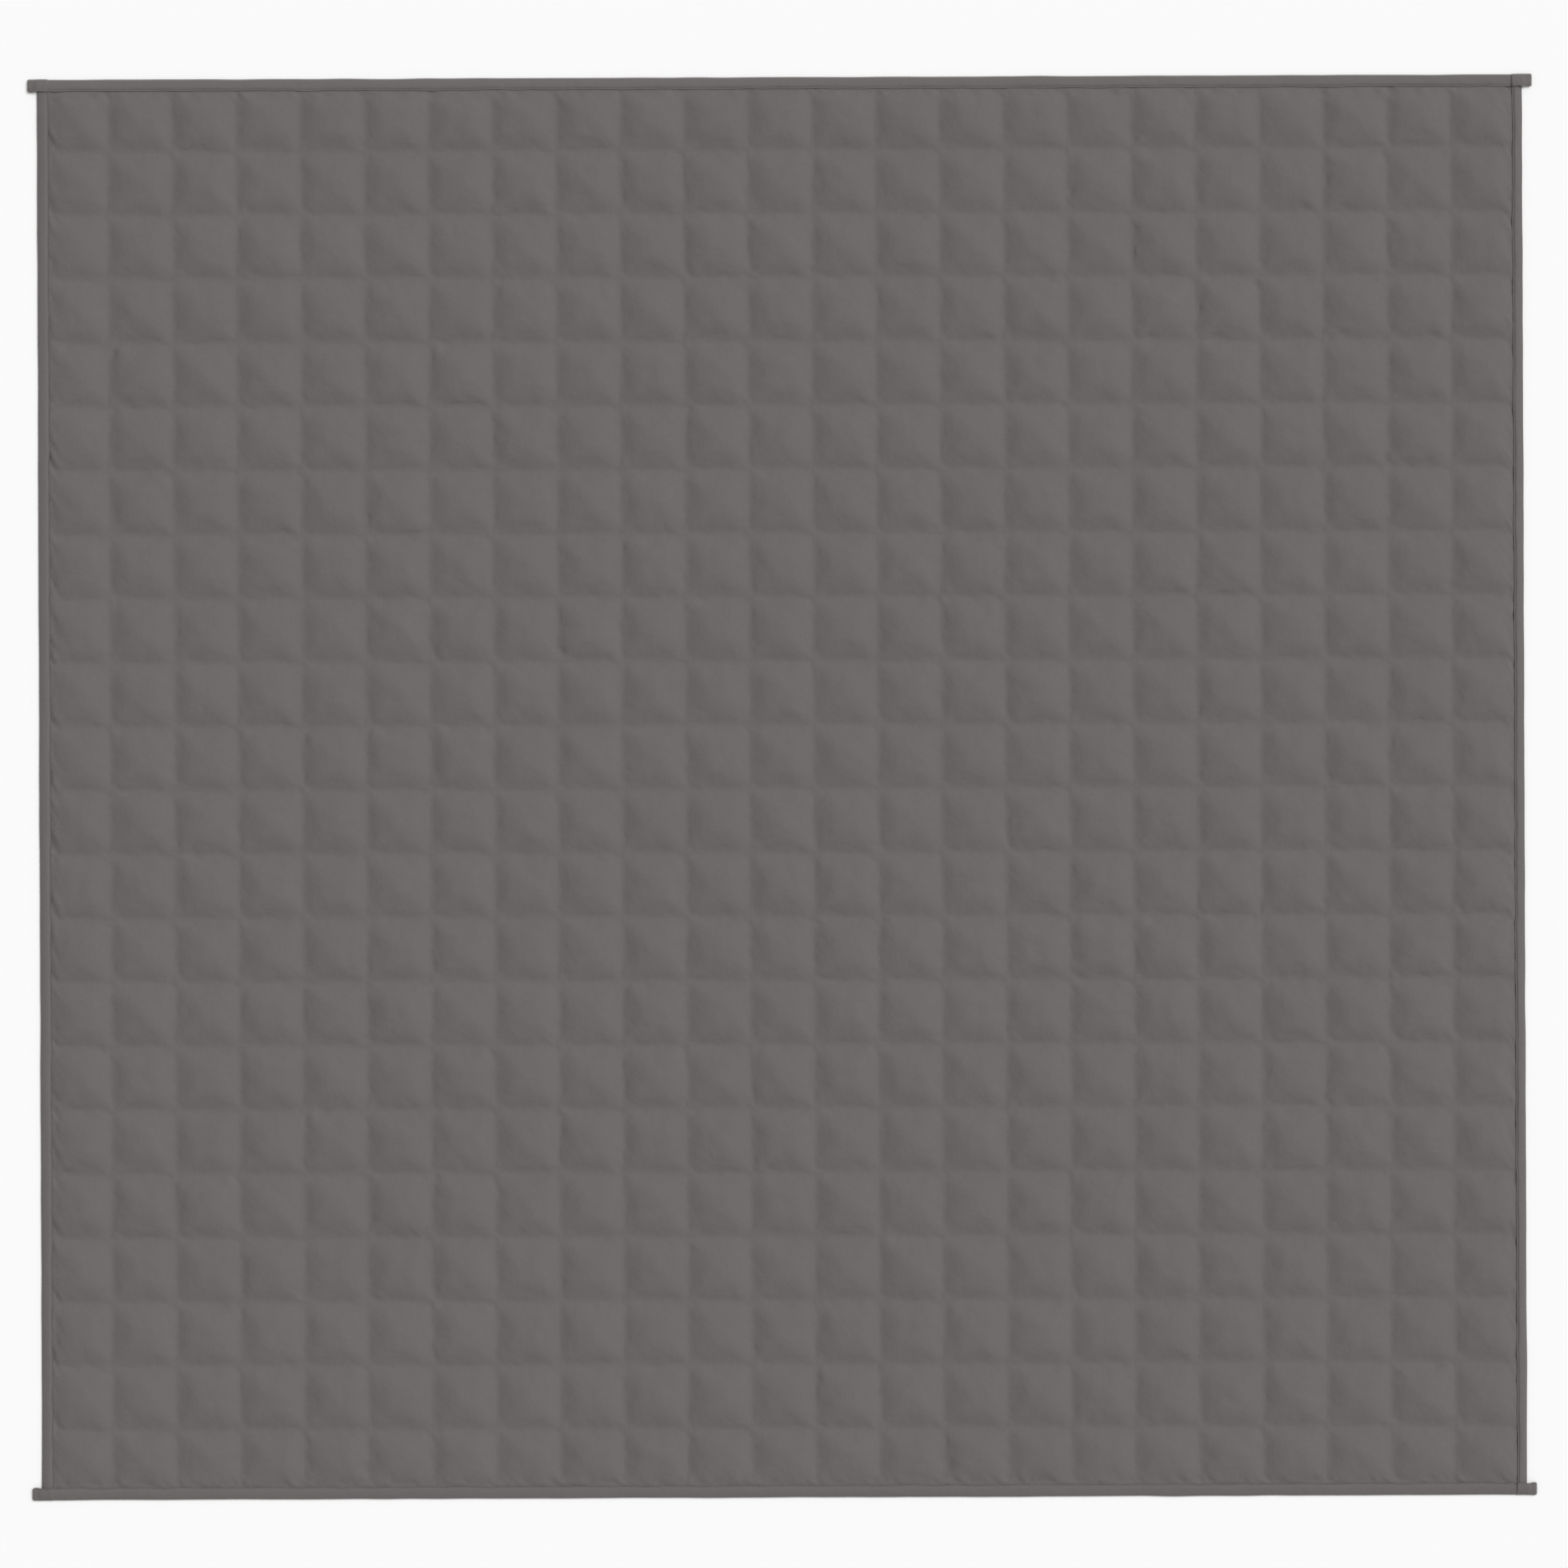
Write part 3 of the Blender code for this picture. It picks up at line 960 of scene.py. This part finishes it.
class Nodes:
    """Adds nodes to a material's tree, each joined to the ones that it takes its values from."""

    def __init__(self, name):
        self.material = bpy.data.materials.new(name)
        self.material.use_nodes = True
        self.tree = self.material.node_tree
        self.shader = self.tree.nodes["Principled BSDF"]
        self.place = self.add("ShaderNodeTexCoord").outputs["Object"]

    def add(self, kind, **inputs):
        """A node with these inputs, with _ for a space in their names."""
        node = self.tree.nodes.new(kind)
        for name, value in inputs.items():
            self.feed(node.inputs[name.replace("_", " ")], value)
        return node

    def feed(self, socket, value):
        """Joins the value to the socket, or sets the socket to it."""
        if isinstance(value, bpy.types.NodeSocket):
            self.tree.links.new(value, socket)
        else:
            socket.default_value = value

    def sum(self, operation, *values):
        """What a sum of this kind makes of the values."""
        node = self.tree.nodes.new("ShaderNodeMath")
        node.operation = operation
        for socket, value in zip(node.inputs, values):
            self.feed(socket, value)
        return node.outputs[0]

    def noise(self, width, detail=2.0, stretch=(1, 1, 1)):
        """Noise from about -1 to 1 with bumps of this width, in metres, stretched along the axes."""
        mapping = self.add("ShaderNodeMapping", Vector=self.place, Scale=[1 / k for k in stretch])
        texture = self.add("ShaderNodeTexNoise", Vector=mapping.outputs[0], Scale=1 / width, Detail=detail)
        return self.sum("MULTIPLY_ADD", texture.outputs["Fac"], 3.0, -1.5)

    def threads(self, pitch, along):
        """A sine across the threads that run square to this direction."""
        lined = self.add("ShaderNodeVectorMath", Vector=self.place)
        lined.operation = "DOT_PRODUCT"
        lined.inputs[1].default_value = [k * 2 * math.pi / pitch for k in along]
        return self.sum("SINE", lined.outputs["Value"])

    def total(self, *weighted):
        """The sum of values, each times its weight."""
        value = 0.0
        for part, weight in weighted:
            value = self.sum("MULTIPLY_ADD", part, weight, value)
        return value

    def bump(self, height, metres, normal=None):
        """The normal on bumps of this height, over the one that is given."""
        node = self.add("ShaderNodeBump", Height=height, Distance=metres, Strength=1.0)
        if normal:
            self.tree.links.new(normal, node.inputs["Normal"])
        return node.outputs["Normal"]

    def finish(self, colour, spread, shade, roughness, rough_spread, rough_shade, normal):
        """Joins the colour, darker and lighter by a share of itself, the roughness and the normal."""
        mix = self.tree.nodes.new("ShaderNodeMix")
        mix.data_type = "RGBA"
        mix.clamp_factor = True
        self.feed(mix.inputs["Factor"], self.sum("MULTIPLY_ADD", shade, 0.5, 0.5))
        darker, lighter = (socket for socket in mix.inputs if socket.type == "RGBA")
        darker.default_value = (*[k * (1 - spread) for k in colour], 1)
        lighter.default_value = (*[k * (1 + spread) for k in colour], 1)
        result = next(socket for socket in mix.outputs if socket.type == "RGBA")
        self.tree.links.new(result, self.shader.inputs["Base Color"])
        settings = {
            "Roughness": self.sum("MULTIPLY_ADD", rough_shade, rough_spread, roughness),
            "Normal": normal,
            "Specular IOR Level": SPECULAR,
            "Sheen Weight": SHEEN,
            "Sheen Roughness": SHEEN_ROUGHNESS,
        }
        for name, value in settings.items():
            self.feed(self.shader.inputs[name], value)
        return self.material


def back_stitches(nodes):
    """1 on the stitches that show on the back, along every seam, and 0 elsewhere."""
    separate = nodes.add("ShaderNodeSeparateXYZ", Vector=nodes.place)
    x, y, z = (separate.outputs[axis] for axis in "XYZ")
    found = 0.0
    for across, along, seam in ((x, y, EDGES_X[1]), (y, x, EDGES_Y[1])):
        aside = nodes.sum("PINGPONG", nodes.sum("SUBTRACT", across, float(seam)), PITCH / 2)
        on_line = nodes.sum("LESS_THAN", aside, BACK_THREAD)
        dash = nodes.sum("FRACT", nodes.sum("DIVIDE", along, QUILTING_STITCH))
        stitch = nodes.sum("MULTIPLY", on_line, nodes.sum("LESS_THAN", dash, STITCH_SHARE))
        found = nodes.sum("MAXIMUM", found, stitch)
    return nodes.sum("MULTIPLY", found, nodes.sum("LESS_THAN", z, BACK_UP_TO))


def panel_material():
    """Fine plain-woven cloth: crossing threads, some thicker than others, a slight nap and soft creases."""
    nodes = Nodes("panel_cloth")
    over = nodes.sum("MULTIPLY", nodes.threads(WEAVE_PITCH, (1, 0, 0)), nodes.threads(WEAVE_PITCH, (0, 1, 0)))
    across, upward = nodes.threads(WEAVE_PITCH / 2, (1, 0, 0)), nodes.threads(WEAVE_PITCH / 2, (0, 1, 0))
    weave = nodes.total((over, 0.6), (across, 0.35), (upward, 0.35))
    slubs_up = nodes.noise(0.0016, stretch=(1, 26, 1))
    slubs_across = nodes.noise(0.0016, stretch=(26, 1, 1))
    nap = nodes.noise(0.0035, detail=6.0)
    dye = nodes.noise(0.13, detail=4.0)
    creases = nodes.noise(0.017, detail=2.5)
    rubbed = nodes.noise(0.04, detail=3.0)
    sewn = back_stitches(nodes)
    shade = nodes.total(
        (weave, 0.3), (slubs_up, 0.3), (slubs_across, 0.3), (nap, 0.35), (dye, 0.45), (sewn, 1.2)
    )
    normal = nodes.bump(creases, 0.0005)
    normal = nodes.bump(sewn, 0.0003, normal)
    cloth = nodes.total((weave, 0.6), (slubs_up, 0.5), (slubs_across, 0.5), (nap, 0.7))
    normal = nodes.bump(cloth, 0.00006, normal)
    return nodes.finish(PANEL_COLOUR, 0.07, shade, 0.92, 0.03, rubbed, normal)


def tape_material():
    """Twill tape: fine diagonal ribs, denser and a little smoother than the cloth."""
    nodes = Nodes("tape_cloth")
    ribs = nodes.threads(TWILL_PITCH, (1, 1, 0.6))
    filling = nodes.threads(TWILL_PITCH / 2, (1, -1, 0))
    slubs = nodes.noise(0.002, stretch=(4, 4, 1))
    nap = nodes.noise(0.003, detail=5.0)
    dye = nodes.noise(0.08, detail=3.0)
    drawn = nodes.noise(0.009, detail=2.0)
    shade = nodes.total((ribs, 0.35), (filling, 0.15), (slubs, 0.3), (nap, 0.3), (dye, 0.4))
    normal = nodes.bump(drawn, 0.0002)
    cloth = nodes.total((ribs, 0.8), (filling, 0.2), (slubs, 0.4), (nap, 0.4))
    normal = nodes.bump(cloth, 0.00005, normal)
    return nodes.finish(TAPE_COLOUR, 0.07, shade, 0.86, 0.04, nap, normal)


def thread_material():
    """Sewing thread: two plies twisted together."""
    nodes = Nodes("thread")
    twist = nodes.threads(TWIST_PITCH, (1, 1, 1))
    fluff = nodes.noise(0.0005, detail=2.0)
    shade = nodes.total((twist, 0.6), (fluff, 0.4))
    normal = nodes.bump(twist, 0.000012)
    return nodes.finish(THREAD_COLOUR, 0.09, shade, 0.75, 0.05, fluff, normal)


# ---- Stage ----

FOCAL_MM = 100
SENSOR_MM = 36
PHOTO_SCALE_AT = 0.003  # the height of the outline, where the frame's width holds


def photo_framing():
    """How wide the photograph's frame is, where the blanket's middle lies in it, and how far it is turned."""
    top_left, top_right, low_left, low_right = (Vector(corner) for corner in PHOTO_CORNERS)
    along = ((top_right - top_left) + (low_right - low_left)) / 2
    metres_per_pixel = (RIGHT_TAPE[1] - LEFT_TAPE[0]) / along.length
    middle = (top_left + top_right + low_left + low_right) / 4
    turn = math.atan2(-along.y, along.x)
    off = middle - Vector((PHOTO_SIDE / 2, PHOTO_SIDE / 2))
    return PHOTO_SIDE * metres_per_pixel, off * metres_per_pixel, turn


def camera():
    """The camera straight above, framed as the photograph is."""
    width, off, turn = photo_framing()
    lens = bpy.data.cameras.new("camera")
    lens.lens = FOCAL_MM
    lens.sensor_width = SENSOR_MM
    lens.clip_end = 100
    view = linked("camera", lens)
    distance = width * FOCAL_MM / SENSOR_MM
    view.rotation_euler.z = -turn
    aside = Vector((-off.x, off.y, 0))
    aside.rotate(view.rotation_euler)
    view.location = aside + Vector((0, 0, distance + PHOTO_SCALE_AT))
    bpy.context.scene.camera = view


KEY_TURN = math.radians(33)  # from +X towards +Y
KEY_HEIGHT = math.radians(50)
KEY_STRENGTH = 2.01
KEY_SPREAD = 0.6
FILL_STRENGTH = 0.49


def lights():
    """A wide soft lamp from the upper right, and even light from all round."""
    key = bpy.data.lights.new("key", "SUN")
    key.energy = KEY_STRENGTH
    key.angle = KEY_SPREAD
    lamp = linked("key", key)
    level = math.cos(KEY_HEIGHT)
    towards = Vector((math.cos(KEY_TURN) * level, math.sin(KEY_TURN) * level, math.sin(KEY_HEIGHT)))
    lamp.rotation_euler = towards.to_track_quat("Z", "Y").to_euler()
    world = bpy.data.worlds.new("fill")
    world.use_nodes = True
    light = world.node_tree.nodes["Background"].inputs
    light["Color"].default_value = (1, 1, 1, 1)
    light["Strength"].default_value = FILL_STRENGTH
    bpy.context.scene.world = world


FLOOR_HALF = 20
FLOOR_BELOW = 0.0003  # the blanket's pads would otherwise lie in the same plane
FLOOR_COLOUR = (0.98, 0.98, 0.98, 1)


def floor():
    """The plain pale floor."""
    corners = np.array([(-1, -1, 0), (1, -1, 0), (1, 1, 0), (-1, 1, 0)]) * FLOOR_HALF - (0, 0, FLOOR_BELOW)
    ground = linked("floor", mesh_of("floor", corners, np.array([[0, 1, 2, 3]])))
    material = bpy.data.materials.new("floor")
    material.use_nodes = True
    shader = material.node_tree.nodes["Principled BSDF"]
    shader.inputs["Base Color"].default_value = FLOOR_COLOUR
    shader.inputs["Roughness"].default_value = 1
    ground.data.materials.append(material)


def main():
    panel_cloth, tape_cloth, sewing_thread = panel_material(), tape_material(), thread_material()
    front, back = front_points(), back_points()
    for name, first, last in BANDS:
        panel_band("quilted_panel_" + name, first, last, front, back, panel_cloth)
    quilting_thread(front, sewing_thread)
    thread("tape_thread", tapes(tape_cloth), TAPE_STITCH, sewing_thread)
    floor()
    lights()
    camera()
    bpy.context.scene.view_settings.view_transform = "Standard"


main()
